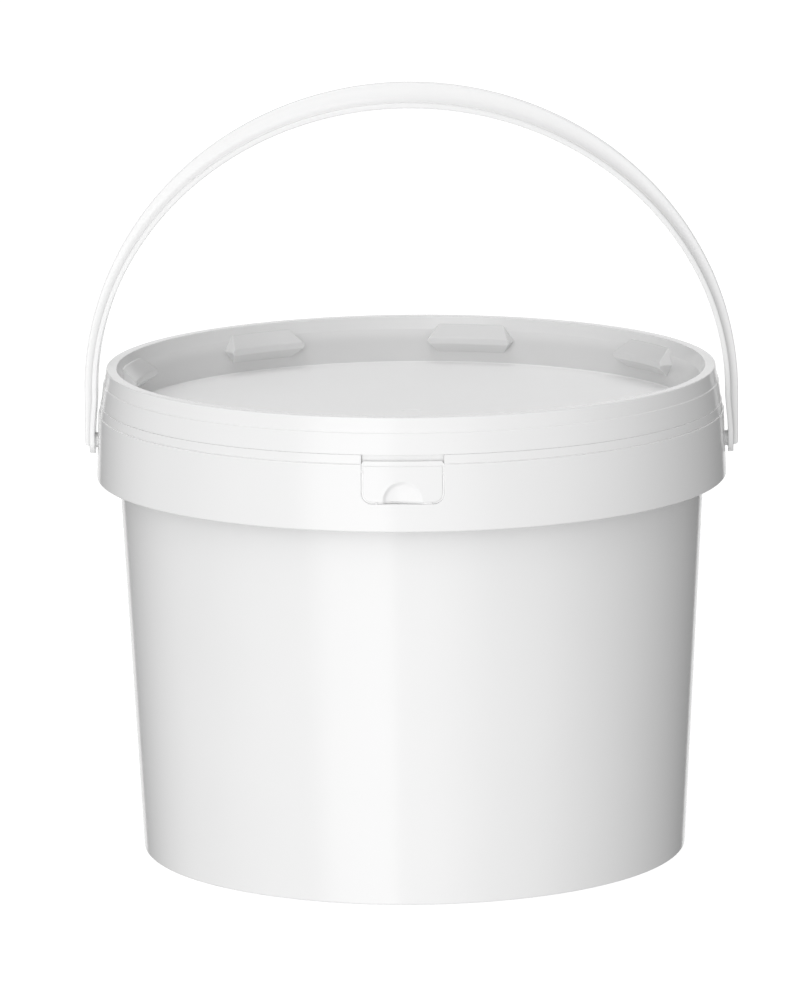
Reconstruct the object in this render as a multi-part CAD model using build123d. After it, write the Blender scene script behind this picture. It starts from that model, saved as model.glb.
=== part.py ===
from build123d import *
import math
import os

# A round lidded pail: tapered bucket, tamper collar round its mouth with a tear-out tab,
# snap-on lid with a sunken panel, and an arched carry handle on two pins.
# Origin: centre of the base on the floor. +Z up, tab at -Y, handle pins on the X axis.
# All lengths in mm, all angles in degrees.

seam_angle = 52.0

# Bucket shell
wall = 1.3
foot_radius = 97.9
wall_slope = 0.051
foot_ring_width = 5.0
foot_ring_height = 2.5
base_thickness = 1.6
flare_bottom = 148.0
flare_top = 154.0
neck_radius = 107.4
rim_radius = 108.0
rim_height = 3.4
rim_top = 169.5

# Tamper collar: a web off the neck, a thin shoulder above it and a long skirt below it
collar_radius = 113.0
collar_bottom = 135.7
collar_wall = 1.8
ledge_radius = 112.15
ledge_height = 159.15
shoulder_radius = 111.42
shoulder_top = 162.45
shoulder_inner_radius = 110.78
web_top = 158.8
web_bottom = 157.0

# Tear tab in the collar's front, and the slit round it
tab_half_width = 13.65
tab_bottom = 146.2
tab_ledge = 158.45
tab_top = 160.3
tab_corner = 3.0
slit = 0.75
slit_depth_y = 108.5
thumb_radius = 7.2
thumb_depth = 1.2

# Frangible bridges: (centre, width) along each slit
bridge_stop = 0.05
bridge_thickness = 0.9
side_bridges = ((-1, 156.65, 1.1), (1, 156.05, 1.4))
lower_bridges = ((-9.15, 0.9), (8.6, 4.1))

# Lid
lid_wall = 1.3
lid_top = 175.2
lid_rim_radius = 109.1
lid_step_radius = 110.3
lid_step_height = 169.8
lid_edge_radius = 111.15
lid_edge_height = 162.75
tongue_radius = 110.35
tongue_bottom = 161.8
channel_outer_radius = 108.4
channel_top = 173.8
recess_radius_top = 104.0
recess_radius_bottom = 103.7
panel_height = 158.2

# Stacking lugs inside the lid's recess
lug_count = 8
first_lug_angle = 79.0
lug_top = 172.0
lug_ridge_top = 168.1
lug_ridge_bottom = 165.9
lug_bottom = 161.1
lug_ridge_radius = 98.8
lug_half_length = 15.8
lug_half_length_ends = 11.2

# Carry handle: a strap with a rib outside it, on a half ellipse over two straight legs
pivot_height = 148.0
pin_radius = 2.7
pin_hole_clearance = 0.08
pin_head_radius = 3.8
pin_head_outer = 110.2
pin_head_inner = 108.6
arm_inner = 113.6
arch_start = 165.3
arch_inner_half_width = 112.6
arch_inner_rise = 103.0
strap_thickness = 1.9
strap_end_half_width = 4.9
strap_grip_half_width = 6.5
strap_widens_from = 178.0
strap_widens_to = 236.0
rib_thickness = 3.2
rib_bottom = 145.9
rib_corner = 1.2
handle_half_width = 117.2
handle_rise = 111.7
leg_straight_top = 152.0


def wall_radius(z):
    """Outer radius of the tapered wall at height z."""
    return foot_radius + wall_slope * z


def skirt_radius(z):
    """Outer radius of the collar's skirt at height z, which drafts outwards going down."""
    drop = (ledge_height - z) / (ledge_height - collar_bottom)
    return ledge_radius + (collar_radius - ledge_radius) * drop


def recess_radius(z):
    """Radius of the lid's recess wall at height z."""
    up = (z - panel_height) / (lid_top - panel_height)
    return recess_radius_bottom + (recess_radius_top - recess_radius_bottom) * up


def turned(corners):
    """Solid of revolution about Z from a closed outline of (radius, height, corner fillet).

    Its seam lies at seam_angle, clear of the tab and the pin holes."""
    points = [(r, z) for r, z, _ in corners]
    rounds = [fillet_radius for _, _, fillet_radius in corners]
    outline = Plane.XZ * FilletPolyline(*points, radius=rounds, close=True)
    return Rot(0, 0, seam_angle) * revolve(make_face(outline), Axis.Z)


def bucket_shell():
    """Base with a foot ring, tapered wall, flared neck and thickened rim."""
    floor_top = foot_ring_height + base_thickness
    foot_inner = foot_radius - foot_ring_width
    return turned([
        (0, foot_ring_height, 0),
        (foot_inner - 1.0, foot_ring_height, 0.8),
        (foot_inner, 0, 0.5),
        (foot_radius, 0, 0.5),
        (wall_radius(flare_bottom), flare_bottom, 3.0),
        (neck_radius, flare_top, 3.0),
        (neck_radius, rim_top - rim_height - 0.6, 0),
        (rim_radius, rim_top - rim_height, 0.3),
        (rim_radius, rim_top, 1.0),
        (neck_radius - wall, rim_top, 1.0),
        (neck_radius - wall, flare_top + 0.4, 3.0),
        (wall_radius(flare_bottom) - wall, flare_bottom + 0.4, 3.0),
        (wall_radius(floor_top) - wall, floor_top, 4.0),
        (0, floor_top, 0),
    ])


def prism_y(half_width, bottom, top, corner, y_back):
    """Block across the collar's front, with both lower corners rounded."""
    outline = Plane.XZ * FilletPolyline(
        (-half_width, top), (-half_width, bottom), (half_width, bottom), (half_width, top),
        radius=[0, corner, corner, 0], close=True)
    block = extrude(make_face(outline), amount=collar_radius + 5.0)
    keep = Box(4 * half_width, 20, top - bottom + 2, align=(Align.CENTER, Align.MAX, Align.CENTER))
    return block & (Pos(0, -y_back, (top + bottom) / 2) * keep)


def tamper_collar():
    """Web, shoulder and skirt in one ring, with the tab's window and two pin holes."""
    ring = turned([
        (neck_radius, web_bottom, 0),
        (skirt_radius(web_bottom) - collar_wall, web_bottom, 0.4),
        (collar_radius - collar_wall, collar_bottom, 0.5),
        (collar_radius, collar_bottom, 0.6),
        (ledge_radius, ledge_height, 0),
        (ledge_radius - 0.4, ledge_height + 0.2, 0),
        (shoulder_radius, shoulder_top, 0),
        (shoulder_inner_radius, shoulder_top, 0),
        (shoulder_inner_radius, web_top, 0),
        (neck_radius, web_top, 0),
    ])
    window = prism_y(tab_half_width + slit, tab_bottom - slit, shoulder_top + 2.0,
                     tab_corner + slit, slit_depth_y)
    pin_holes = Pos(0, 0, pivot_height) * Rot(0, 90, 0) * Cylinder(
        pin_radius + pin_hole_clearance, 2 * collar_radius + 10)
    return ring - window - pin_holes


def tear_tab():
    """Piece of the collar inside the slit, with a lower ledge and a thumb scoop."""
    ring = turned([
        (skirt_radius(tab_bottom - 3) - collar_wall, tab_bottom - 3, 0),
        (skirt_radius(tab_bottom - 3), tab_bottom - 3, 0),
        (skirt_radius(tab_ledge), tab_ledge, 0),
        (skirt_radius(tab_ledge) - 0.4, tab_ledge + 0.2, 0),
        (skirt_radius(tab_ledge) - 0.6, tab_top, 0),
        (shoulder_inner_radius, tab_top, 0),
        (shoulder_inner_radius, web_top - 0.6, 0),
        (skirt_radius(web_bottom) - collar_wall, web_bottom, 0),
    ])
    outline = prism_y(tab_half_width, tab_bottom, tab_top + 2.0, tab_corner, slit_depth_y)
    sphere_radius = (thumb_radius ** 2 + thumb_depth ** 2) / (2 * thumb_depth)
    face_y = skirt_radius(tab_bottom)
    scoop = Pos(0, -(face_y + sphere_radius - thumb_depth), tab_bottom) * Sphere(sphere_radius)
    return (ring & outline) - scoop


def tab_bridges():
    """Frangible nubs between the tab's edges and the collar, just short of the collar."""
    length = slit - bridge_stop
    nubs = []
    for side, height, size in side_bridges:
        edge = tab_half_width + slit
        y_face = -math.sqrt(skirt_radius(height) ** 2 - edge ** 2) + 0.1
        nub = Box(length, bridge_thickness, size, align=(Align.MIN, Align.MIN, Align.CENTER))
        x_start = tab_half_width if side > 0 else -tab_half_width - length
        nubs.append(Pos(x_start, y_face, height) * nub)
    for centre, size in lower_bridges:
        reach = abs(centre) + size / 2
        y_face = -math.sqrt(skirt_radius(tab_bottom) ** 2 - reach ** 2) + 0.1
        nub = Box(size, bridge_thickness, length, align=(Align.CENTER, Align.MIN, Align.MAX))
        nubs.append(Pos(centre, y_face, tab_bottom) * nub)
    return nubs


def lid():
    """Sunken panel, recess wall, flat rim over the bucket's rim, and a stepped outer skirt."""
    plug_radius = recess_radius_top + lid_wall - 0.1
    return turned([
        (0, panel_height, 0),
        (recess_radius_bottom, panel_height, 0.6),
        (recess_radius_top, lid_top, 0.9),
        (lid_rim_radius, lid_top, 0.9),
        (lid_step_radius - 0.4, lid_step_height + 0.2, 0.2),
        (lid_step_radius, lid_step_height - 0.1, 0.1),
        (lid_edge_radius, lid_edge_height, 0.25),
        (tongue_radius, lid_edge_height, 0),
        (tongue_radius, tongue_bottom, 0.4),
        (tongue_radius - lid_wall, tongue_bottom, 0.4),
        (channel_outer_radius, lid_step_height, 0),
        (channel_outer_radius, channel_top, 0.5),
        (plug_radius, channel_top, 0.5),
        (plug_radius, panel_height - lid_wall, 1.5),
        (0, panel_height - lid_wall, 0),
    ])


def stacking_lugs():
    """Wedge-shaped lugs round the recess wall that centre the foot of a pail stacked on top."""
    band = turned([
        (recess_radius(lug_bottom), lug_bottom, 0),
        (recess_radius(lug_top), lug_top, 0),
        (lug_ridge_radius, lug_ridge_top, 0.6),
        (lug_ridge_radius, lug_ridge_bottom, 0.6),
    ])
    middle = (lug_ridge_top + lug_ridge_bottom) / 2
    hexagon = Plane.YZ * Polyline(
        (-lug_half_length, middle), (-lug_half_length_ends, lug_bottom - 0.5),
        (lug_half_length_ends, lug_bottom - 0.5), (lug_half_length, middle),
        (lug_half_length_ends, lug_top + 0.5), (-lug_half_length_ends, lug_top + 0.5),
        (-lug_half_length, middle))
    one_lug = band & extrude(make_face(hexagon), amount=recess_radius_top + 5)
    return [Rot(0, 0, first_lug_angle + i * 360 / lug_count) * one_lug for i in range(lug_count)]


def arch_area(leg_x, half_width, rise, bottom):
    """Area under an arch: straight legs, a slight lean inwards, then a half ellipse."""
    top = EllipticalCenterArc((0, arch_start), half_width, rise, 0, arc_size=180)
    legs = Polyline(
        (-half_width, arch_start), (-leg_x, leg_straight_top), (-leg_x, bottom),
        (leg_x, bottom), (leg_x, leg_straight_top), (half_width, arch_start))
    return make_face(Plane.XZ * (top + legs))


def strap_side_outline():
    """Side view of the strap: round ends about the pins, wider at the grip."""
    ends = Pos(0, pivot_height) * Circle(strap_end_half_width)
    top = arch_start + handle_rise + 5
    sides = make_face(Polyline(
        (-strap_end_half_width, pivot_height), (strap_end_half_width, pivot_height),
        (strap_end_half_width, strap_widens_from), (strap_grip_half_width, strap_widens_to),
        (strap_grip_half_width, top), (-strap_grip_half_width, top),
        (-strap_grip_half_width, strap_widens_to), (-strap_end_half_width, strap_widens_from),
        (-strap_end_half_width, pivot_height)))
    return Plane.YZ * (ends + sides)


def carry_handle():
    """Flat strap arched over the lid, with a rib outside it that is deepest at the grip."""
    end = pivot_height - strap_end_half_width - 1
    hollow = arch_area(arm_inner, arch_inner_half_width, arch_inner_rise, end)
    strap_back = arch_area(arm_inner + strap_thickness, arch_inner_half_width + strap_thickness,
                           arch_inner_rise + strap_thickness, end)
    outside = arch_area(handle_half_width, handle_half_width, handle_rise, rib_bottom)
    strap = extrude(strap_back - hollow, amount=strap_grip_half_width + 1, both=True)
    strap = strap & extrude(strap_side_outline(), amount=handle_half_width + 1, both=True)
    rib = extrude(outside - strap_back, amount=rib_thickness / 2, both=True)
    lower_edges = rib.edges().filter_by(Axis.Y).group_by(Axis.Z)[0]
    outer_edges = lower_edges.filter_by(lambda e: abs(e.center().X) > handle_half_width - 0.1)
    return strap + fillet(outer_edges, rib_corner)


def pivot_pins():
    """Snap-in pins on the inner faces of the handle's ends, each with a head in the collar."""
    shaft = Cylinder(pin_radius, arm_inner - pin_head_outer,
                     align=(Align.CENTER, Align.CENTER, Align.MAX))
    head = Cylinder(pin_head_radius, pin_head_outer - pin_head_inner,
                    align=(Align.CENTER, Align.CENTER, Align.MIN))
    head = chamfer(head.edges().group_by(Axis.Z)[0], 0.8)
    pin = Pos(0, 0, arm_inner) * shaft + Pos(0, 0, pin_head_inner) * head
    right = Pos(0, 0, pivot_height) * Rot(0, 90, 0) * pin
    return [right, Rot(0, 0, 180) * right]


def write(node, shape):
    """One STEP file per named piece; a list is a group of separate solids."""
    solids = shape if isinstance(shape, list) else shape.solids()
    group = Compound(label=node, children=list(solids)) if len(solids) > 1 else solids[0]
    group.label = node
    export_step(group, f"parts/{node}.step")


os.makedirs("parts", exist_ok=True)
pieces = (bucket_shell, tamper_collar, tear_tab, tab_bridges, lid, stacking_lugs, carry_handle,
          pivot_pins)
for piece in pieces:
    write(piece.__name__, piece())
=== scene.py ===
import math

import bmesh
import bpy
import numpy as np
from mathutils import Matrix, Vector


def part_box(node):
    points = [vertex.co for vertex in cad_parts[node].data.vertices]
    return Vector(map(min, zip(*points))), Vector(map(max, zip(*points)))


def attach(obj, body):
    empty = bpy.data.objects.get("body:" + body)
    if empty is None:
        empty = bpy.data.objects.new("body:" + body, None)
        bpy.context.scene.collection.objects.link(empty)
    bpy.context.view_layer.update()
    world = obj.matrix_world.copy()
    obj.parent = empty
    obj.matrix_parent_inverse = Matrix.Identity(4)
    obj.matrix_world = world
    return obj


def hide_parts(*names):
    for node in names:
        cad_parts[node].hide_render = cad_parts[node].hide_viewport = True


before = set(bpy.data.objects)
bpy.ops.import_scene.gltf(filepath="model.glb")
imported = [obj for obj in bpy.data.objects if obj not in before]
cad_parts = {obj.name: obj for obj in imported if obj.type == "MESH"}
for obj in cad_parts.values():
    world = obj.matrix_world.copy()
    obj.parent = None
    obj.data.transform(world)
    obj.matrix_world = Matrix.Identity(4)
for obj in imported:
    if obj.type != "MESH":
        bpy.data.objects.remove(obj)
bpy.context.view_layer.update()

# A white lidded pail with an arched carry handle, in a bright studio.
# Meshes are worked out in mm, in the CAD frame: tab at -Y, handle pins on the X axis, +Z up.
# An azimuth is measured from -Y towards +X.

MM = 0.001

turn_segments = 256
rounding_steps = 6

# Bucket shell
wall = 1.3
base_underside = 2.5
base_thickness = 1.6
foot_width = 5.0
foot_radius = 97.9
wall_slope = 0.051
flare_below_rim = 21.5
flare_height = 6.0
neck_below_rim_radius = 0.6
rim_height = 3.4
gate_radius = 3.2
gate_height = 0.5
gate_taper = 0.3
underside_step = 0.4
underside_step_shares = (0.62, 0.66)
foot_root_width = 1.0

# Tamper collar
collar_wall = 1.8
ledge_drop = 3.3
ledge_in = 0.85
ledge_step = 0.4
shoulder_width = 0.64
shoulder_in = 1.58
web_thickness = 1.8
web_drop = 3.65
web_back = 108.5
slit = 0.75
edge_round = 0.2
window_corner = 3.75
front_recess = 0.12
front_recess_angle = 7.65
front_recess_blend = 0.08
front_columns = (8.3, 9.2)
front_segments = 12
collar_foot = 1.2
ledge_groove = 0.15
ledge_groove_height = 0.4
shoulder_round = 0.08
window_round_middle = 0.3

# Tear tab
tab_corner = 3.0
tab_ledge_drop = 1.85
tab_ledge_step = 0.5
scoop_radius = 7.0
scoop_floor_radius = 5.7
scoop_wall_depth = 0.65
scoop_depth = 1.15
scoop_lean = 0.7
tear_web_depth = 0.55
tear_web_depth_at_top = 0.22
tear_web_thickness = 0.3
tear_web_reach = 0.65
tab_side_heights = (150.6, 152.4, 154.2, 155.8)
scoop_wall_rings = (0.25, 0.5, 0.75, 0.93, 1.0, 1.12)
round_middle = 0.707

# Tab bridges
bridge_steps = 6
bridge_sides = 16
bridge_waist = 0.22
bridge_square = 0.65

# Lid
lid_rim_in = 2.05
lid_step_drop = 5.4
lid_step_in = 0.85
lid_edge_drop = 12.72
tongue_in = 0.8
tongue_drop = 3.05
tongue_width = 1.3
channel_in = 2.75
channel_drop = 1.4
recess_radius = 104.0
recess_mouth_radius = 105.5
plug_radius = 105.7
panel_drop = 17.0
# (inwards from the recess radius, height over the panel) where the recess wall bends
recess_bends = ((0.4, 8.3), (0.1, 12.3))
# (radius, height over the panel, rounding) of the moulding mark
lid_mark = ((0, -0.25, 0), (3.0, -0.25, 0.3), (3.6, 0.05, 0.2), (4.3, 0.05, 0.2), (4.6, 0, 0.3))

# Stacking lugs
lug_count = 8
first_lug_angle = 79.0
lug_middle = 167.0
lug_half_height = 5.45
lug_ridge_half_height = 1.1
lug_ridge_radius = 98.8
lug_half_length = 15.8
lug_half_length_ends = 11.2
lug_end_rise = 0.5
lug_root = 0.2
lug_sink = 1.0
lug_edge_round = 0.42

# Carry handle
strap_thickness = 1.9
strap_end_half_width = 4.9
strap_widens = (178.0, 236.0)
strap_edge_round = 0.5
rib_half_thickness = 1.6
rib_edge_round = 0.5
rib_root_round = 2.5
rib_end_height = 145.9
rib_end_round = 1.2
arm_inner = 113.6
arch_start = 165.3
arch_lean_from = 150.0
arch_inner_half_width = 112.6
arch_inner_rise = 103.0

# Pins
pin_radius = 2.7
pin_head_width = 1.6
pin_head_chamfer = 1.0
pin_into_strap = 0.3
pin_root_height = 0.7
pin_root_flare = 0.4

# Camera: turn, tilt and roll in degrees, place in metres, lens in mm
camera_turn, camera_tilt, camera_roll = -1.664, 10.833, -0.485
camera_place = (0.07109, -2.54515, 0.61278)
camera_lens = 259.4

# Studio light by azimuth: a white backdrop behind, darker sides, bright in front
light_round = ((-180, 1.0), (-161, 1.0), (-159, 0.2), (-138, 0.2), (-120, 0.44), (-107, 0.6),
               (-88, 0.34), (-66, 0.4), (-45, 0.33), (-5, 1.08), (10, 1.08), (20, 0.78),
               (34, 0.33), (55, 0.58), (70, 0.34), (110, 0.28), (150, 0.16), (163, 0.18),
               (165, 1.0), (180, 1.0))
softbox_left = (-44.0, -30.0)
softbox_right = (-5.0, -6.6)
softbox_level = 1.3
pole_blend = (0.8, 0.97)
pole_level = 0.6
overhead = (0.7, 0.97)
overhead_level = 0.58

# Lid tones: the sunken panel is matte and painted paler as painted light; the recess wall and the rim
# are painted darker as painted shade, darkest low on the wall
matte_roughness = 0.35
# Radius inside which the lid gets painted shade, and the painted shade levels high and low on the
# recess wall
painted_shade_inside = 108.75
upper_painted_shade = 0.88
lower_painted_shade = 0.78


def box_mm(node):
    """Lowest and highest corner of a CAD node, in mm."""
    lo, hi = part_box(node)
    return np.array(lo) / MM, np.array(hi) / MM


def unit(v):
    return v / np.linalg.norm(v)


def outline(corners, steps=rounding_steps):
    """Closed anticlockwise outline from (r, z, rounding) corners.

    Gives each point with the normal of the side that arrives there and of the side that leaves."""
    spots = np.array([c[:2] for c in corners], float)
    made = []
    for i, (here, corner) in enumerate(zip(spots, corners)):
        arriving = unit(here - spots[i - 1])
        leaving = unit(spots[(i + 1) % len(spots)] - here)
        cross = arriving[0] * leaving[1] - arriving[1] * leaving[0]
        angle = math.atan2(cross, float(arriving @ leaving))
        first = np.array([arriving[1], -arriving[0]])
        last = np.array([leaving[1], -leaving[0]])
        if corner[2] == 0 or abs(angle) < 0.01:
            made.append((here, first, last))
            continue
        side = math.copysign(1.0, angle)
        start = here - arriving * corner[2] * math.tan(abs(angle) / 2)
        centre = start - side * corner[2] * first
        count = max(2, math.ceil(steps * abs(angle) / (math.pi / 2)))
        for k in range(count + 1):
            a = angle * k / count
            normal = np.array([first[0] * math.cos(a) - first[1] * math.sin(a),
                               first[0] * math.sin(a) + first[1] * math.cos(a)])
            made.append((centre + side * corner[2] * normal, normal, normal))
    return made


def spin(r, azimuth, z):
    """The point at radius r, azimuth in degrees and height z."""
    a = math.radians(azimuth)
    return (r * math.sin(a), -r * math.cos(a), z)


def new_object(name, vertices, faces, normals=None):
    """Mesh object from vertices in mm; normals, if given, has one for every face corner."""
    mesh = bpy.data.meshes.new(name)
    mesh.from_pydata([Vector(v) * MM for v in vertices], [], faces)
    mesh.shade_smooth()
    if normals is not None:
        mesh.normals_split_custom_set(normals)
    made = bpy.data.objects.new(name, mesh)
    bpy.context.scene.collection.objects.link(made)
    return made


def turned(name, corners, segments=turn_segments):
    """Smooth solid of revolution about Z from a closed outline of (r, z, rounding)."""
    points = outline(corners)
    vertices, rings = [], []
    for (r, z), _, _ in points:
        on_axis = r < 1e-6
        rings.append((len(vertices), on_axis))
        spots = 1 if on_axis else segments
        vertices += [spin(r, 360 * i / segments, z) for i in range(spots)]
    faces, normals = [], []
    for j, (_, _, leaving) in enumerate(points):
        k = (j + 1) % len(points)
        arriving = points[k][1]
        (first, first_on_axis), (second, second_on_axis) = rings[j], rings[k]
        if first_on_axis and second_on_axis:
            continue
        for i in range(segments):
            n = (i + 1) % segments
            here, there = 360 * i / segments, 360 * (i + 1) / segments
            corner = [(first if first_on_axis else first + i, leaving, here),
                      (first + n, leaving, there),
                      (second if second_on_axis else second + n, arriving, there),
                      (second + i, arriving, here)]
            if first_on_axis:
                del corner[1]
            if second_on_axis:
                del corner[3]
            faces.append([c[0] for c in corner])
            normals += [spin(c[1][0], c[2], c[1][1]) for c in corner]
    return new_object(name, vertices, faces, normals)


def soften(made, sharp_angle=40.0, merge=0.002):
    """Welds, turns all faces outwards and shades a mesh so that its broad faces stay flat."""
    b = bmesh.new()
    b.from_mesh(made.data)
    bmesh.ops.remove_doubles(b, verts=b.verts, dist=merge * MM)
    bmesh.ops.dissolve_degenerate(b, edges=b.edges, dist=merge * MM / 10)
    bmesh.ops.recalc_face_normals(b, faces=b.faces)
    b.to_mesh(made.data)
    b.free()
    made.data.shade_smooth()
    made.data.set_sharp_from_angle(angle=math.radians(sharp_angle))
    weighted = made.modifiers.new("broad_faces", "WEIGHTED_NORMAL")
    weighted.keep_sharp = True
    return bake(made)


def bake(made):
    """Applies an object's modifiers."""
    view = bpy.context.evaluated_depsgraph_get()
    mesh = bpy.data.meshes.new_from_object(made.evaluated_get(view))
    made.modifiers.clear()
    made.data = mesh
    mesh.name = made.name
    return made


# ---------------------------------------------------------------- bucket shell

def wall_radius(z):
    """Outer radius of the tapered wall at height z."""
    return foot_radius + wall_slope * z


def bucket_shell():
    hi = box_mm("bucket_shell")[1]
    rim_radius, rim_top = hi[0], hi[2]
    neck = rim_radius - neck_below_rim_radius
    flare_bottom = rim_top - flare_below_rim
    flare_top = flare_bottom + flare_height
    floor_top = base_underside + base_thickness
    foot_inner = foot_radius - foot_width
    raised = base_underside + underside_step
    return turned("bucket_shell_skin", [
        (0, base_underside - gate_height, 0),
        (gate_radius - gate_taper, base_underside - gate_height, 0.2),
        (gate_radius, base_underside, 0.4),
        (foot_inner * underside_step_shares[0], base_underside, 1.5),
        (foot_inner * underside_step_shares[1], raised, 1.5),
        (foot_inner - foot_root_width, raised, 0.8),
        (foot_inner, 0, 0.5),
        (foot_radius, 0, 0.6),
        (wall_radius(flare_bottom), flare_bottom, 3.0),
        (neck, flare_top, 3.0),
        (neck, rim_top - rim_height - 0.6, 0.3),
        (rim_radius, rim_top - rim_height, 0.3),
        (rim_radius, rim_top, 1.0),
        (neck - wall, rim_top, 1.0),
        (neck - wall, flare_top + 0.4, 3.0),
        (wall_radius(flare_bottom) - wall, flare_bottom + 0.4, 3.0),
        (wall_radius(floor_top) - wall, floor_top, 4.0),
        (0, floor_top, 0),
    ])


# --------------------------------------------------------------- tamper collar

class Collar:
    """The collar's dimensions, read off its CAD box and the named values above."""

    def __init__(self):
        lo, hi = box_mm("tamper_collar")
        tab_lo, tab_hi = box_mm("tear_tab")
        self.radius, self.bottom, self.top = hi[0], lo[2], hi[2]
        self.ledge = self.top - ledge_drop
        self.ledge_radius = self.radius - ledge_in
        self.shoulder = self.radius - shoulder_in
        self.shoulder_inner = self.shoulder - shoulder_width
        self.web_top = self.top - web_drop
        self.web_bottom = self.web_top - web_thickness
        self.tab_half, self.tab_bottom, self.tab_top = tab_hi[0], tab_lo[2], tab_hi[2]
        self.half = self.tab_half + slit
        self.window_bottom = self.tab_bottom - slit
        self.neck = box_mm("bucket_shell")[1][0] - neck_below_rim_radius

    def skirt(self, z):
        """Outer radius of the skirt at height z."""
        drop = (self.ledge - z) / (self.ledge - self.bottom)
        return self.ledge_radius + ledge_in * drop

    def angle(self, x):
        """Azimuth of a place on the skirt's face at x."""
        return math.degrees(math.asin(x / self.skirt(self.window_bottom)))


def window_path(c, grow):
    """(x, z) along the window's lower edge from its left side to its right, grown by grow."""
    corner = window_corner + grow
    low, flat = c.window_bottom - grow, c.half - window_corner
    left = [(-flat - corner * math.cos(math.radians(a)),
             low + corner * (1 - math.sin(math.radians(a)))) for a in range(0, 91, 9)]
    middle = [(flat * f, low) for f in np.linspace(-1, 1, 15)[1:-1]]
    right = [(-x, z) for x, z in reversed(left)]
    return left + middle + right


def tamper_collar():
    c = Collar()
    arc_top = c.window_bottom + window_corner
    foot = c.bottom + collar_foot
    rows = [foot] + list(np.linspace(foot, arc_top, 6)[1:])
    upper = list(np.linspace(arc_top, c.ledge, 5)[1:-1])
    inner_upper = [z for z in upper if z < c.web_bottom - 1.0]
    web_front = web_back / math.cos(math.radians(c.angle(c.half)))
    outer = [(c.skirt(z), z, 0) for z in rows + upper]
    inner = [(c.skirt(z) - collar_wall, z, 0) for z in reversed(rows + inner_upper)]
    corners = [
        (c.skirt(c.bottom) - collar_wall, c.bottom, 0.5),
        (c.skirt(c.bottom), c.bottom, 0.6),
        *outer,
        (c.ledge_radius, c.ledge, 0.12),
        (c.ledge_radius - ledge_step - ledge_groove, c.ledge + 0.05, 0),
        (c.ledge_radius - ledge_step, c.ledge + ledge_groove_height, 0.05),
        (c.shoulder, c.top, shoulder_round),
        (c.shoulder_inner, c.top, shoulder_round),
        (c.shoulder_inner, c.web_top, 0.3),
        (web_front, c.web_top, 0),
        (c.neck, c.web_top, 0),
        (c.neck, c.web_bottom, 0),
        (web_front, c.web_bottom, 0),
        (c.skirt(c.web_bottom) - collar_wall, c.web_bottom, 0.4),
        *inner,
    ]
    points = outline(corners)
    spots = np.array([p[0] for p in points])

    def index_of(r, z):
        return int(np.argmin(np.abs(spots - (r, z)).sum(1)))

    outer_end = index_of(c.skirt(arc_top), arc_top)
    inner_end = index_of(c.skirt(arc_top) - collar_wall, arc_top)
    web = [index_of(web_front, c.web_top), index_of(c.neck, c.web_top),
           index_of(c.neck, c.web_bottom), index_of(web_front, c.web_bottom)]
    count = len(points)
    shoulder_end = index_of(c.shoulder, c.top) + 2
    lower = [j % count for j in range(inner_end, count + outer_end + 1)]
    outwards = np.array([1.0 if 0 < j <= shoulder_end and r > c.shoulder - 0.05 else 0.0
                         for j, (r, z) in enumerate(spots)])
    for j in range(count):
        if spots[j][1] < foot - 1e-6:
            share = (spots[j][0] - c.radius + collar_wall) / collar_wall
            outwards[j] = min(1.0, max(0.0, share))

    vertices, faces, normals = [], [], []

    def add(point):
        vertices.append(point)
        return len(vertices) - 1

    def recess(azimuth, z, share):
        inside = front_recess if abs(azimuth) < front_recess_angle and z < c.ledge + 0.01 else 0.0
        return inside * share

    def full_column(outer_angle, inner_angle):
        ids, angles = [], []
        for j, (r, z) in enumerate(spots):
            a = inner_angle + (outer_angle - inner_angle) * outwards[j]
            ids.append(add(spin(r - recess(a, z, outwards[j]), a, z)))
            angles.append(a)
        return ids, angles

    def window_column(outer_place, inner_place):
        ids, angles = [None] * count, [0.0] * count
        outer_angle, inner_angle = c.angle(outer_place[0]), c.angle(inner_place[0])
        for j in lower:
            r, z = spots[j]
            a = inner_angle + (outer_angle - inner_angle) * outwards[j]
            if z > foot + 1e-6:
                end = (outer_place if outwards[j] > 0.5 else inner_place)[1]
                z = foot + (z - foot) * (end - foot) / (arc_top - foot)
                r = c.skirt(z) - (0.0 if outwards[j] > 0.5 else collar_wall)
            ids[j] = add(spin(r - recess(a, z, outwards[j]), a, z))
            angles[j] = a
        for j in web:
            r, z = spots[j]
            if r > c.neck + 0.1:
                r = web_back / math.cos(math.radians(inner_angle))
            ids[j] = add(spin(r, inner_angle, z))
            angles[j] = inner_angle
        return ids, angles

    def skin(left, right, sides):
        for j in sides:
            k = (j + 1) % count
            faces.append([left[0][j], right[0][j], right[0][k], left[0][k]])
            for column, m, normal in ((left, j, points[j][2]), (right, j, points[j][2]),
                                      (right, k, points[k][1]), (left, k, points[k][1])):
                normals.append(spin(normal[0], column[1][m], normal[1]))

    def plain(*face):
        faces.append(list(face))
        around = np.array([vertices[i] for i in faces[-1]])
        normal = unit(np.cross(around, np.roll(around, -1, axis=0)).sum(0))
        normals.extend([tuple(normal)] * len(around))

    outer_path, inner_path = window_path(c, edge_round), window_path(c, 0.0)
    edge_angle, wall_angle = c.angle(outer_path[-1][0]), c.angle(inner_path[-1][0])
    steps = [edge_angle, front_recess_angle - front_recess_blend,
             front_recess_angle + front_recess_blend, *front_columns]
    even = list(np.linspace(steps[-1], 360 - steps[-1], turn_segments - front_segments))
    right_side = [full_column(a, wall_angle if a == edge_angle else a) for a in steps]
    around = [full_column(a, a) for a in even[1:-1]]
    left_side = [full_column(-a, -wall_angle if a == edge_angle else -a) for a in reversed(steps)]
    columns = right_side + around + left_side
    for left, right in zip(columns, columns[1:]):
        skin(left, right, range(count))

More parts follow.
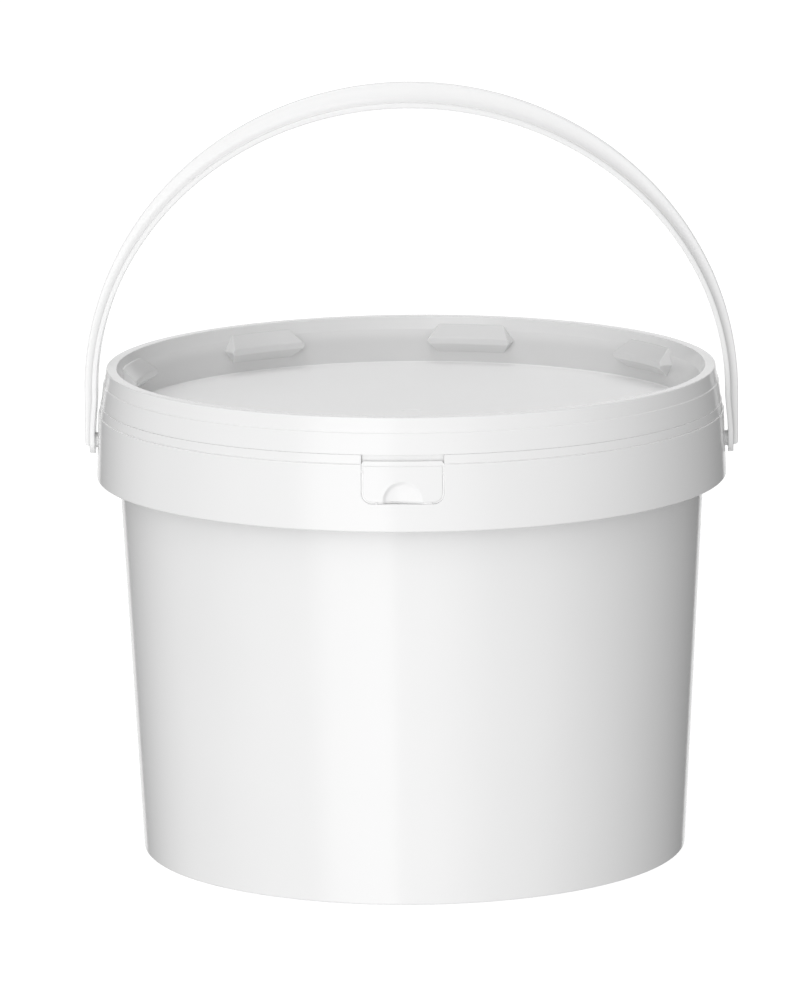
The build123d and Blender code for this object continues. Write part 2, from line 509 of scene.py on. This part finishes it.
    first, last = columns[-1], columns[0]
    window = [first]
    for place, inner_place in zip(outer_path[1:-1], inner_path[1:-1]):
        window.append(window_column(place, inner_place))
    window.append(last)
    for left, right in zip(window, window[1:]):
        skin(left, right, lower[:-1])
        skin(left, right, web[:-1])
        plain(left[0][web[3]], right[0][web[3]], right[0][web[0]], left[0][web[0]])

    def edge_pair(place, inner_place):
        """Middle and end of the rounding at one place on the window's edge."""
        x, z = inner_place
        part = window_round_middle
        mid_x, mid_z = x + part * (place[0] - x), z + part * (place[1] - z)
        depth = front_recess + edge_round
        middle = add(spin(c.skirt(mid_z) - front_recess - part * edge_round, c.angle(mid_x), mid_z))
        return middle, add(spin(c.skirt(z) - depth, c.angle(x), z))

    pairs = [edge_pair(p, q) for p, q in zip(outer_path, inner_path)]
    for k in range(len(window) - 1):
        left, right = window[k][0], window[k + 1][0]
        plain(left[outer_end], right[outer_end], pairs[k + 1][0], pairs[k][0])
        plain(pairs[k][0], pairs[k + 1][0], pairs[k + 1][1], pairs[k][1])
        plain(pairs[k][1], pairs[k + 1][1], right[inner_end], left[inner_end])

    for column, (start_middle, start_end), side in ((first, pairs[0], -1), (last, pairs[-1], 1)):
        ids = column[0]
        before = (ids[outer_end], start_middle, start_end)
        rim = [start_end]
        a = wall_angle + window_round_middle * (edge_angle - wall_angle)
        for j in range(outer_end + 1, shoulder_end + 1):
            (r, z), normal = spots[j], points[j][2]
            inset = np.array([r, z]) - edge_round * normal
            r_in = inset[0] - recess(0.0, z, 1.0)
            half_way = np.array([r, z]) - window_round_middle * edge_round * normal
            now = (ids[j],
                   add(spin(half_way[0] - recess(0.0, z, 1.0), side * a, half_way[1])),
                   add(spin(r_in, side * wall_angle, inset[1])))
            for m in (0, 1):
                quad = (before[m], before[m + 1], now[m + 1], now[m])
                plain(*(quad if side < 0 else reversed(quad)))
            rim.append(now[2])
            before = now
        beyond = ids[shoulder_end + 1]
        for m in (0, 1):
            three = (before[m], before[m + 1], beyond)
            plain(*(three if side < 0 else reversed(three)))
        rim += [ids[j] for j in range(shoulder_end + 1, web[0] + 1)]
        rim += [ids[j] for j in range(web[3], inner_end + 1)]
        plain(*(reversed(rim) if side > 0 else rim))
    return new_object("tamper_collar_skin", vertices, faces, normals)


# -------------------------------------------------------------------- tear tab

def tear_tab():
    c = Collar()
    low, high = c.tab_bottom + edge_round, c.tab_top - edge_round
    half, corner = c.tab_half - edge_round, tab_corner - edge_round
    ledge = c.tab_top - tab_ledge_drop
    flat = c.tab_half - tab_corner

    scoop_wall = scoop_radius - scoop_floor_radius
    rings = [2.0, 4.0, scoop_floor_radius - 0.7, scoop_floor_radius - 0.25, scoop_floor_radius]
    rings += [scoop_floor_radius + scoop_wall * f for f in scoop_wall_rings]
    spread = (1 / 3, 2 / 3, 1.0)
    edge_rings = rings + [rings[-1] + (flat - rings[-1]) * f for f in spread]
    share = [x / flat for x in edge_rings]
    shares = [-s for s in reversed(share)] + [0.0] + share

    arc = [(flat + corner * math.sin(math.radians(a)), low + corner * (1 - math.cos(math.radians(a))))
           for a in range(0, 91, 10)]
    side_heights = [*tab_side_heights, c.web_bottom - 0.01, c.web_bottom + 0.01,
                    ledge - 0.15, ledge]
    side = [(half, z) for z in side_heights]
    right = arc + side
    top = [(half * s, ledge) for s in reversed(shares[1:-1])]
    rim = right + top + [(-x, z) for x, z in reversed(right)]

    def face_y(x, z):
        return -math.sqrt((c.skirt(z) - front_recess) ** 2 - x * x)

    def scoop(distance, x):
        """How far the scoop lies under the tab's face; it is shallower to the right."""
        if distance >= scoop_radius:
            return 0.0
        lean = 1 - scoop_lean * x / scoop_radius
        if distance >= scoop_floor_radius:
            t = (scoop_radius - distance) / (scoop_radius - scoop_floor_radius)
            return lean * scoop_wall_depth * (t * t * (3 - 2 * t) * 0.5 + t * 0.5)
        dish = 1 - (distance / scoop_floor_radius) ** 2
        return lean * (scoop_wall_depth + (scoop_depth - scoop_wall_depth) * dish)

    vertices, faces = [], []

    def add(x, y, z):
        vertices.append((x, y, z))
        return len(vertices) - 1

    def front(x, z):
        return add(x, face_y(x, z) + scoop(math.hypot(x, z - low), x), z)

    def strip(here, there):
        """Faces between two rows of vertices."""
        for m in range(len(here) - 1):
            faces.append([here[m], here[m + 1], there[m + 1], there[m]])

    centre = front(0.0, low)
    rays = []
    for x, z in rim:
        away = math.hypot(x, z - low)
        ray = [front(x * d / away, low + (z - low) * d / away) for d in rings]
        start = (x * rings[-1] / away, low + (z - low) * rings[-1] / away)
        ray += [front(start[0] + (x - start[0]) * f, start[1] + (z - start[1]) * f) for f in spread]
        rays.append(ray)
    for here, there in zip(rays, rays[1:]):
        faces.append([centre, here[0], there[0]])
        strip(here, there)

    corner_ids = len(right) - 1
    strip_levels = ((ledge + 0.06, 0.12), (ledge + 0.2, tab_ledge_step - 0.08),
                    (ledge + 0.35, tab_ledge_step), ((ledge + high) / 2, tab_ledge_step + 0.04),
                    (high, tab_ledge_step + 0.1))
    below = [rays[k][-1] for k in range(corner_ids, corner_ids + len(shares))]
    columns = [half * s for s in reversed(shares)]
    strips = []
    for z, depth in strip_levels:
        row = [add(x, face_y(x, ledge) + depth, z) for x in columns]
        for m in range(len(row) - 1):
            faces.append([below[m], row[m], row[m + 1], below[m + 1]])
        strips.append(row)
        below = row

    ray_ends = [ray[-1] for ray in rays]
    right_up = list(zip(ray_ends, right))
    left_up = list(zip(reversed(ray_ends), [(-x, z) for x, z in right]))
    for row, (z, _) in zip(strips, strip_levels):
        right_up.append((row[0], (half, z)))
        left_up.append((row[-1], (-half, z)))

    def outward(x, z):
        """Direction out of the tab's outline at a place on its inset outline."""
        if abs(x) > flat and z < low + corner:
            v = unit(np.array([abs(x) - flat, z - low - corner]))
            return math.copysign(v[0], x), v[1]
        return math.copysign(1.0, x), 0.0

    def back_y(x, z):
        if z > ledge - 0.01:
            return -math.sqrt(c.shoulder_inner ** 2 - x * x)
        if z > c.web_bottom:
            return -web_back
        return -math.sqrt((c.skirt(z) - collar_wall) ** 2 - x * x)

    def edge(vertex, direction, reach=tear_web_reach):
        """Rounding, thin tear web into the slit and back corner below a vertex of the rim."""
        x, y, z = vertices[vertex]
        dx, dz = direction
        mid = round_middle * edge_round
        out_x, out_z = x + dx * edge_round, z + dz * edge_round
        web_x, web_z = out_x + dx * reach, out_z + dz * reach
        web_front = y + (tear_web_depth if z < ledge + 0.1 else tear_web_depth_at_top)
        web_rear = web_front + tear_web_thickness
        return (vertex,
                add(x + dx * mid, y + (1 - round_middle) * edge_round, z + dz * mid),
                add(out_x, y + edge_round, out_z),
                add(out_x, web_front, out_z),
                add(web_x, web_front, web_z),
                add(web_x, web_rear, web_z),
                add(out_x, web_rear, out_z),
                add(out_x, back_y(out_x, out_z), out_z))

    bottom_ids = [rays[-1][m] for m in reversed(range(len(edge_rings)))] + [centre]
    bottom_ids += [rays[0][m] for m in range(len(edge_rings))]
    bottom = [edge(v, (0.0, -1.0)) for v in bottom_ids]
    right_edges = [bottom[-1]] + [edge(v, outward(*place)) for v, place in right_up[1:-1]]
    left_edges = [bottom[0]] + [edge(v, outward(*place)) for v, place in left_up[1:-1]]
    corner_right = edge(right_up[-1][0], (1.0, 0.0), 0.0)
    corner_left = edge(left_up[-1][0], (-1.0, 0.0), 0.0)
    right_edges.append(corner_right)
    left_edges.append(corner_left)
    top_edges = [edge(v, (0.0, 1.0), 0.0) for v in strips[-1][1:-1]]
    top_edges = [corner_right] + top_edges + [corner_left]
    for corner_edge in (corner_right, corner_left):
        for level, v in enumerate(corner_edge[1:]):
            x, y, z = vertices[v]
            vertices[v] = (x, y, z + (round_middle if level == 0 else 1.0) * edge_round)
    for run in (bottom, right_edges, top_edges, list(reversed(left_edges))):
        for here, there in zip(run, run[1:]):
            strip(here, there)

    rows = [[e[-1] for e in bottom]]
    for left_edge, right_edge in zip(left_edges[1:-1], right_edges[1:-1]):
        x, _, z = vertices[right_edge[-1]]
        between = [add(x * s, back_y(x * s, z), z) for s in shares[1:-1]]
        rows.append([left_edge[-1]] + between + [right_edge[-1]])
    rows.append([e[-1] for e in reversed(top_edges)])
    for here, there in zip(rows, rows[1:]):
        strip(here, there)
    return soften(new_object("tear_tab_skin", vertices, faces), merge=0.0005)


def islands(node):
    """Boxes, in mm, of the separate solids of a CAD node."""
    b = bmesh.new()
    b.from_mesh(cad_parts[node].data)
    bmesh.ops.remove_doubles(b, verts=b.verts, dist=0.001 * MM)
    left, found = set(b.verts), []
    while left:
        group, queue = set(), [left.pop()]
        while queue:
            v = queue.pop()
            group.add(v)
            for e in v.link_edges:
                other = e.other_vert(v)
                if other in left:
                    left.remove(other)
                    queue.append(other)
        places = np.array([v.co for v in group]) / MM
        found.append((places.min(0), places.max(0)))
    b.free()
    return sorted(found, key=lambda box: (round(box[0][2], 2), round(box[0][0], 2)))


def tab_bridges():
    """Thin nubs across the slit, waisted where they are meant to break."""
    vertices, faces = [], []
    for lo, hi in islands("tab_bridges"):
        size, middle = hi - lo, (hi + lo) / 2
        along = 0 if size[2] > size[0] or size[0] < 0.8 else 2
        across = 2 - along
        start = len(vertices)
        for step in range(bridge_steps + 1):
            t = step / bridge_steps * 2 - 1
            waist = 1 - bridge_waist * (1 - t * t)
            for k in range(bridge_sides):
                a = 2 * math.pi * (k + 0.5) / bridge_sides
                square = 1 / max(abs(math.cos(a)), abs(math.sin(a)))
                bulge = 1 - bridge_square + bridge_square * square
                place = np.zeros(3)
                place[along] = t * size[along] / 2
                place[across] = min(1.0, max(-1.0, math.cos(a) * bulge)) * waist * size[across] / 2
                place[1] = min(1.0, max(-1.0, math.sin(a) * bulge)) * waist * size[1] / 2
                vertices.append(tuple(middle + place))
        for step in range(bridge_steps):
            for k in range(bridge_sides):
                n = (k + 1) % bridge_sides
                row = start + step * bridge_sides
                after = row + bridge_sides
                faces.append([row + k, row + n, after + n, after + k])
        faces.append([start + k for k in range(bridge_sides)])
        last = start + bridge_steps * bridge_sides
        faces.append([last + k for k in reversed(range(bridge_sides))])
    return soften(new_object("tab_bridges_skin", vertices, faces), sharp_angle=60.0)


# ------------------------------------------------------------------------- lid

def lid():
    lo, hi = box_mm("lid")
    top, edge_radius = hi[2], hi[0]
    panel, bottom = top - panel_drop, lo[2]
    step, edge = top - lid_step_drop, top - lid_edge_drop
    tongue = edge_radius - tongue_in
    tongue_bottom = edge - tongue_drop
    channel = edge_radius - channel_in
    return turned("lid_skin", [
        *((r, panel + height, rounding) for r, height, rounding in lid_mark),
        (recess_radius - 0.8, panel, 0.8),
        *((recess_radius - inwards, panel + height, 0.3) for inwards, height in recess_bends),
        (recess_mouth_radius, top, 0.35),
        (edge_radius - lid_rim_in, top, 0.45),
        (edge_radius - lid_step_in - 0.4, step + 0.2, 0.2),
        (edge_radius - lid_step_in, step - 0.1, 0.1),
        (edge_radius, edge, 0.08),
        (tongue, edge, 0),
        (tongue, tongue_bottom, 0.4),
        (tongue - tongue_width, tongue_bottom, 0.4),
        (channel, step, 0),
        (channel, top - channel_drop, 0.5),
        (plug_radius, top - channel_drop, 0.2),
        (plug_radius, bottom, 1.5),
        (3.0, bottom, 0.2),
        (2.6, bottom + 0.3, 0.2),
        (0, bottom + 0.3, 0),
    ][::-1])


def stacking_lugs():
    """Eight wedges on the recess wall with sloping ends, each with a narrow flat ridge."""
    slope = lug_half_height + lug_end_rise
    run = recess_radius + lug_root - lug_ridge_radius
    back = recess_radius + lug_sink

    def clip(t):
        """Half height of the outline at a distance t along the lug."""
        if t <= lug_half_length_ends:
            return lug_half_height
        share = (lug_half_length - t) / (lug_half_length - lug_half_length_ends)
        return min(lug_half_height, slope * share)

    def front(height):
        """Radius of the lug's face at a height over or under its middle."""
        beyond = max(0.0, abs(height) - lug_ridge_half_height)
        return lug_ridge_radius + run * beyond / (lug_half_height - lug_ridge_half_height)

    even = [lug_half_length_ends * i / 6 for i in range(7)]
    tip = [lug_half_length - (lug_half_length - lug_half_length_ends) * s
           for s in (lug_half_height / slope, 0.55, lug_ridge_half_height / slope)]
    places = even + tip + [lug_half_length]
    places = [-t for t in reversed(places[1:])] + places
    made = []
    for number in range(lug_count):
        turn = first_lug_angle + 90 + 360 / lug_count * number
        vertices, faces = [], []
        for t in places:
            h = clip(abs(t))
            ridge = min(h, lug_ridge_half_height)
            angle = turn + math.degrees(t / lug_ridge_radius)
            section = ((back, -h), (front(h), -h), (front(ridge), -ridge), (front(ridge), ridge),
                       (front(h), h), (back, h))
            vertices += [spin(r, angle, lug_middle + z) for r, z in section]
        for i in range(len(places) - 1):
            for k in range(6):
                n = (k + 1) % 6
                faces.append([6 * i + k, 6 * i + n, 6 * i + 6 + n, 6 * i + 6 + k])
        faces.append([0, 1, 2, 3, 4, 5])
        last = 6 * (len(places) - 1)
        faces.append([last + k for k in (5, 4, 3, 2, 1, 0)])
        lug = new_object(f"lug_{number}", vertices, faces)
        b = bmesh.new()
        b.from_mesh(lug.data)
        bmesh.ops.remove_doubles(b, verts=b.verts, dist=0.01 * MM)
        bmesh.ops.dissolve_degenerate(b, edges=b.edges, dist=0.005 * MM)
        bmesh.ops.recalc_face_normals(b, faces=b.faces)
        b.to_mesh(lug.data)
        b.free()
        bevel = lug.modifiers.new("round_edges", "BEVEL")
        bevel.width = lug_edge_round * MM
        bevel.segments = 3
        bevel.limit_method = "ANGLE"
        bevel.angle_limit = math.radians(12)
        made.append(soften(bake(lug), sharp_angle=50.0))
    return join("stacking_lugs_skin", made)


def join(name, parts):
    """One object from several, keeping their shading."""
    for o in bpy.context.selected_objects:
        o.select_set(False)
    for o in parts:
        o.select_set(True)
    bpy.context.view_layer.objects.active = parts[0]
    bpy.ops.object.join()
    parts[0].name = name
    parts[0].data.name = name
    parts[0].select_set(False)
    return parts[0]


# ---------------------------------------------------------------- carry handle

def ease(t):
    t = min(1.0, max(0.0, t))
    return t * t * (3 - 2 * t)


def arch_places(pivot):
    """(x, z, normal x, normal z) along the strap's inner face from one end to the other."""
    rib_full = rib_end_height + rib_end_round
    heights = {pivot - strap_end_half_width * math.sin(math.radians(a)) for a in range(0, 90, 9)}
    heights.add(pivot - strap_end_half_width * math.sin(math.radians(87)))
    heights |= {rib_full - rib_end_round * math.sin(math.radians(a)) for a in range(0, 91, 15)}
    heights |= {rib_end_height - 0.03, 149.0}
    heights |= set(np.linspace(arch_lean_from, arch_start, 10)[:-1])
    leg = []
    for z in sorted(heights):
        x = arm_inner - (arm_inner - arch_inner_half_width) * ease(
            (z - arch_lean_from) / (arch_start - arch_lean_from))
        leg.append((x, z))
    arch = []
    for i in range(181):
        a = math.pi * i / 180
        arch.append((arch_inner_half_width * math.cos(a), arch_start + arch_inner_rise * math.sin(a)))
    line = np.array(leg + arch + [(-x, z) for x, z in reversed(leg)])
    along = np.gradient(line, axis=0)
    along /= np.linalg.norm(along, axis=1)[:, None]
    return [(x, z, dz, -dx) for (x, z), (dx, dz) in zip(line, along)]


def rib_reach(x, z, nx, nz, half_width, top):
    """Distance along the normal from the strap's inner face to the rib's outer edge."""
    if z <= arch_start:
        return (half_width - abs(x)) / abs(nx)
    rise = top - arch_start
    a = (nx / half_width) ** 2 + (nz / rise) ** 2
    b = 2 * (x * nx / half_width ** 2 + (z - arch_start) * nz / rise ** 2)
    d = (x / half_width) ** 2 + ((z - arch_start) / rise) ** 2 - 1
    return (-b + math.sqrt(b * b - 4 * a * d)) / (2 * a)


def handle_section(half, reach):
    """Half outline (across, out) of the T section: strap edge, root round and rib edge."""
    steps = 5
    edge = min(strap_edge_round, half * 0.45)
    rib = min(rib_half_thickness, half * 0.6)
    tall = max(0.0, reach - strap_thickness)
    crest = min(rib_edge_round, tall * 0.45)
    root = min(rib_root_round, tall - crest, max(0.0, half - edge - rib - 0.05))
    root = max(0.0, root)
    quarter = [math.pi / 2 * i / steps for i in range(steps + 1)]
    made = [(0.0, 0.0), (half * 0.5, 0.0)]
    made += [(half - edge + edge * math.sin(a), edge - edge * math.cos(a)) for a in quarter]
    made += [(half - edge + edge * math.cos(a), strap_thickness - edge + edge * math.sin(a))
             for a in quarter]
    made += [(rib + root - root * math.sin(a), strap_thickness + root - root * math.cos(a))
             for a in quarter]
    made += [(rib - crest + crest * math.cos(a), strap_thickness + tall - crest + crest * math.sin(a))
             for a in quarter]
    made.append((0.0, strap_thickness + tall))
    return made


def carry_handle():
    hi = box_mm("carry_handle")[1]
    half_width, top, grip = hi[0], hi[2], hi[1]
    pivot = box_mm("pivot_pins")
    pivot = (pivot[0][2] + pivot[1][2]) / 2
    rib_full = rib_end_height + rib_end_round
    vertices, faces = [], []
    places = arch_places(pivot)
    for x, z, nx, nz in places:
        reach = rib_reach(x, z, nx, nz, half_width, top)
        if z < rib_full:
            down = min(rib_end_round, rib_full - z)
            reach -= rib_end_round - math.sqrt(rib_end_round ** 2 - down ** 2)
        if z < rib_end_height - 1e-6:
            reach = strap_thickness
        half = strap_end_half_width + (grip - strap_end_half_width) * ease(
            (z - strap_widens[0]) / (strap_widens[1] - strap_widens[0]))
        if z < pivot:
            half = math.sqrt(max(0.0, strap_end_half_width ** 2 - (pivot - z) ** 2))
        section = handle_section(half, reach)
        section += [(-across, out) for across, out in reversed(section[1:-1])]
        per_row = len(section)
        vertices += [(x + nx * out, across, z + nz * out) for across, out in section]
    for i in range(len(places) - 1):
        for k in range(per_row):
            n = (k + 1) % per_row
            row, after = i * per_row, (i + 1) * per_row
            faces.append([row + k, row + n, after + n, after + k])
    faces.append(list(range(per_row)))
    last = (len(places) - 1) * per_row
    faces.append([last + k for k in reversed(range(per_row))])
    return soften(new_object("carry_handle_skin", vertices, faces), sharp_angle=50.0, merge=0.001)


def pivot_pins():
    """Both snap-in pins: a shaft off the strap and a coned head inside the collar."""
    lo, hi = box_mm("pivot_pins")
    head = (hi[2] - lo[2]) / 2
    height = (hi[2] + lo[2]) / 2
    end = min(abs(corner[0]) for corner in islands("pivot_pins")[1])
    shaft_end = hi[0] + pin_into_strap
    made = []
    for turn in (90, -90):
        pin = turned(f"pin_{turn}", [
            (0, end, 0),
            (head - pin_head_chamfer, end, 0.3),
            (head, end + pin_head_chamfer, 0.25),
            (head, end + pin_head_width, 0.2),
            (pin_radius, end + pin_head_width, 0.25),
            (pin_radius, shaft_end - pin_root_height, 0.3),
            (pin_radius + pin_root_flare, shaft_end, 0),
            (0, shaft_end, 0),
        ], segments=64)
        place = Matrix.Translation((0, 0, height * MM)) @ Matrix.Rotation(math.radians(turn), 4, "Y")
        pin.data.transform(place)
        made.append(pin)
    return join("pivot_pins_skin", made)


# ------------------------------------------------------------------- materials

def node_makers(tree):
    """Makers of Math nodes and of smooth steps in a node tree; an input is a socket or a number."""
    def maths(kind, a, b=None):
        node = tree.nodes.new("ShaderNodeMath")
        node.operation = kind
        for socket, value in zip(node.inputs, (a, b)):
            if isinstance(value, (int, float)):
                socket.default_value = value
            elif value is not None:
                tree.links.new(value, socket)
        return node.outputs["Value"]

    def between(value, start, end, low=0.0, high=1.0):
        """low up to start, high from end on, in between a smooth change."""
        node = tree.nodes.new("ShaderNodeMapRange")
        node.interpolation_type = "SMOOTHSTEP"
        for socket, number in (("From Min", start), ("From Max", end), ("To Min", low),
                               ("To Max", high)):
            node.inputs[socket].default_value = number
        tree.links.new(value, node.inputs["Value"])
        return node.outputs["Result"]

    return maths, between


def plastic(name, colour, shade, roughness, grain, panel=None):
    """Glossy moulded polypropylene: cloudy pigment, a faint ripple and hair-fine scuffs.

    With the height of a sunken panel, in mm, the panel is matte and painted paler as painted light,
    and the recess walls and rim round it are painted darker as painted shade."""
    material = bpy.data.materials.new(name)
    material.use_nodes = True
    nodes, links = material.node_tree.nodes, material.node_tree.links
    maths, between = node_makers(material.node_tree)
    shader = nodes["Principled BSDF"]
    shader.inputs["IOR"].default_value = 1.49
    place = nodes.new("ShaderNodeTexCoord")

    def noise(scale, detail, stretch=(1, 1, 1)):
        mapping = nodes.new("ShaderNodeMapping")
        mapping.inputs["Scale"].default_value = stretch
        texture = nodes.new("ShaderNodeTexNoise")
        texture.inputs["Scale"].default_value = scale
        texture.inputs["Detail"].default_value = detail
        links.new(place.outputs["Object"], mapping.inputs["Vector"])
        links.new(mapping.outputs["Vector"], texture.inputs["Vector"])
        return texture.outputs["Fac"]

    def ramp(source, low, high, ends):
        node = nodes.new("ShaderNodeValToRGB")
        node.color_ramp.elements[0].position = low
        node.color_ramp.elements[1].position = high
        node.color_ramp.elements[0].color = (*ends[0], 1)
        node.color_ramp.elements[1].color = (*ends[1], 1)
        links.new(source, node.inputs["Fac"])
        return node.outputs["Color"]

    tint = ramp(noise(14.0, 3.0), 0.35, 0.65, (shade, colour))
    if panel is not None:
        axes = nodes.new("ShaderNodeSeparateXYZ")
        links.new(place.outputs["Object"], axes.inputs["Vector"])
        squares = maths("ADD", maths("MULTIPLY", axes.outputs["X"], axes.outputs["X"]),
                        maths("MULTIPLY", axes.outputs["Y"], axes.outputs["Y"]))
        # Painted shade: inside this radius the recess wall and rim are darkened, more so low on the
        # wall; the skirt outside keeps its colour
        skirt = between(squares, (painted_shade_inside * MM) ** 2, ((painted_shade_inside + 0.3) * MM) ** 2,
                        0.0, 1.0)
        wall_painted_shade = between(axes.outputs["Z"], (panel + 7.0) * MM, (panel + 12.0) * MM,
                       lower_painted_shade, upper_painted_shade)
        # Painted light: the sunken panel's colour is raised above the plastic's own white
        pale = between(axes.outputs["Z"], panel * MM, (panel + 0.8) * MM, 1.04, 0.0)
        scaled = nodes.new("ShaderNodeVectorMath")
        scaled.operation = "SCALE"
        links.new(tint, scaled.inputs["Vector"])
        links.new(maths("MAXIMUM", maths("MAXIMUM", skirt, wall_painted_shade), pale), scaled.inputs["Scale"])
        tint = scaled.outputs["Vector"]
    links.new(tint, shader.inputs["Base Color"])

    scuffs = noise(90.0, 4.0, (1.0, 1.0, 7.0))
    low, high = ([roughness - 0.03] * 3, [roughness + 0.05] * 3)
    gloss = ramp(scuffs, 0.3, 0.75, (low, high))
    if panel is not None:
        matte = between(axes.outputs["Z"], panel * MM, (panel + 0.8) * MM, matte_roughness, 0.0)
        gloss = maths("ADD", gloss, matte)
    links.new(gloss, shader.inputs["Roughness"])

    ripple = nodes.new("ShaderNodeBump")
    ripple.inputs["Distance"].default_value = 0.00006
    ripple.inputs["Strength"].default_value = 0.5
    links.new(noise(26.0, 1.0), ripple.inputs["Height"])
    fine = nodes.new("ShaderNodeBump")
    fine.inputs["Distance"].default_value = grain
    fine.inputs["Strength"].default_value = 0.5
    links.new(noise(900.0, 2.0), fine.inputs["Height"])
    links.new(ripple.outputs["Normal"], fine.inputs["Normal"])
    links.new(fine.outputs["Normal"], shader.inputs["Normal"])
    return material


# ---------------------------------------------------------------------- studio

def make_camera():
    """The camera at the photograph's angle: from a little right of the tab, looking down."""
    yaw, pitch, roll = (math.radians(a) for a in (camera_turn, camera_tilt, camera_roll))
    forward = Vector((math.sin(yaw) * math.cos(pitch), math.cos(yaw) * math.cos(pitch),
                      -math.sin(pitch)))
    right = forward.cross(Vector((0, 0, 1))).normalized()
    up = right.cross(forward)
    tilted_right = right * math.cos(roll) + up * math.sin(roll)
    tilted_up = up * math.cos(roll) - right * math.sin(roll)
    data = bpy.data.cameras.new("camera")
    data.lens = camera_lens
    data.sensor_width = 36.0
    data.clip_end = 60.0
    camera = bpy.data.objects.new("camera", data)
    camera.matrix_world = Matrix.Translation(camera_place) @ Matrix(
        (tilted_right, tilted_up, -forward)).transposed().to_4x4()
    bpy.context.scene.collection.objects.link(camera)
    bpy.context.scene.camera = camera


def make_world():
    """Light from all round as a function of direction, with a tall softbox at the front left."""
    world = bpy.data.worlds.new("studio")
    bpy.context.scene.world = world
    world.use_nodes = True
    nodes, links = world.node_tree.nodes, world.node_tree.links
    background = nodes["Background"]
    place = nodes.new("ShaderNodeTexCoord")
    axes = nodes.new("ShaderNodeSeparateXYZ")
    links.new(place.outputs["Generated"], axes.inputs["Vector"])

    maths, smooth = node_makers(world.node_tree)
    azimuth = maths("ARCTAN2", axes.outputs["X"], maths("MULTIPLY", axes.outputs["Y"], -1.0))
    azimuth = maths("MULTIPLY", azimuth, 180 / math.pi)
    height = axes.outputs["Z"]
    ramp = nodes.new("ShaderNodeValToRGB")
    ramp.color_ramp.interpolation = "LINEAR"
    elements = ramp.color_ramp.elements
    while len(elements) < len(light_round):
        elements.new(0.5)
    for element, (angle, level) in zip(elements, light_round):
        element.position = (angle + 180) / 360
        element.color = (level, level, level, 1)
    links.new(maths("DIVIDE", maths("ADD", azimuth, 180.0), 360.0), ramp.inputs["Fac"])
    across = maths("MULTIPLY", smooth(azimuth, *softbox_left), smooth(azimuth, *softbox_right))
    softbox = maths("MULTIPLY", across, softbox_level)
    sides = maths("ADD", ramp.outputs["Color"], softbox)
    pole = smooth(maths("ABSOLUTE", height), *pole_blend)
    around = maths("MULTIPLY", sides, maths("SUBTRACT", 1.0, pole))
    around = maths("ADD", around, maths("MULTIPLY", pole, pole_level))
    around = maths("ADD", around, maths("MULTIPLY", smooth(height, *overhead), overhead_level))
    links.new(around, background.inputs["Color"])
    background.inputs["Strength"].default_value = 1.0


def emitting(name, colour, diffuse, strength):
    """Material that glows as well as it reflects, like a lit white acrylic sheet."""
    material = bpy.data.materials.new(name)
    material.use_nodes = True
    shader = material.node_tree.nodes["Principled BSDF"]
    shader.inputs["Base Color"].default_value = (diffuse, diffuse, diffuse, 1)
    shader.inputs["Roughness"].default_value = 0.9
    shader.inputs["Specular IOR Level"].default_value = 0.0
    shader.inputs["Emission Color"].default_value = (*colour, 1)
    shader.inputs["Emission Strength"].default_value = strength
    return material


def make_stage():
    """A pale floor, and a white dome that only the camera sees."""
    reach = 12.0
    bpy.ops.mesh.primitive_circle_add(vertices=96, radius=reach, fill_type="NGON")
    floor = bpy.context.object
    floor.name = "studio_floor"
    floor.location.z = -0.0003
    floor.data.materials.append(emitting("floor_acrylic", (1, 1, 1), 0.3, 0.86))
    bpy.ops.mesh.primitive_uv_sphere_add(segments=96, ring_count=48, radius=reach)
    dome = bpy.context.object
    dome.name = "studio_backdrop"
    dome.data.materials.append(emitting("backdrop_white", (1, 1, 1), 0.0, 1.1))
    for staged in (floor, dome):
        for ray in ("visible_diffuse", "visible_glossy", "visible_transmission",
                    "visible_volume_scatter", "visible_shadow"):
            setattr(staged, ray, False)


# -------------------------------------------------------------------- assembly

make_camera()
make_world()
make_stage()
bpy.context.scene.view_settings.view_transform = "Standard"

white_body = plastic("white_body", (0.93, 0.93, 0.93), (0.915, 0.915, 0.915), 0.13, 4e-6)
white_lid = plastic("white_lid", (0.93, 0.93, 0.93), (0.915, 0.915, 0.915), 0.16, 6e-6,
                    panel=box_mm("lid")[1][2] - panel_drop + 0.2)
# The lugs are the lid's own white plastic, painted grey as painted shade
lugs_painted_shade = plastic("lugs_painted_shade", (0.75, 0.75, 0.75), (0.74, 0.74, 0.74), 0.2, 6e-6)
white_handle = plastic("white_handle", (0.93, 0.93, 0.93), (0.915, 0.915, 0.915), 0.2, 6e-6)

parts = (
    (bucket_shell, "bucket", white_body, "bucket_plastic"),
    (tamper_collar, "bucket", white_body, "bucket_plastic"),
    (tear_tab, "tab", white_body, "bucket_plastic"),
    (tab_bridges, "tab", white_body, "bucket_plastic"),
    (lid, "lid", white_lid, "lid_plastic"),
    (stacking_lugs, "lid", lugs_painted_shade, "lid_plastic"),
    (carry_handle, "handle", white_handle, "handle_plastic"),
    (pivot_pins, "handle", white_handle, "handle_plastic"),
)
for make, body, material, slot in parts:
    piece = make()
    piece.data.materials.clear()
    piece.data.materials.append(material)
    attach(piece, body)
    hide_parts(make.__name__)
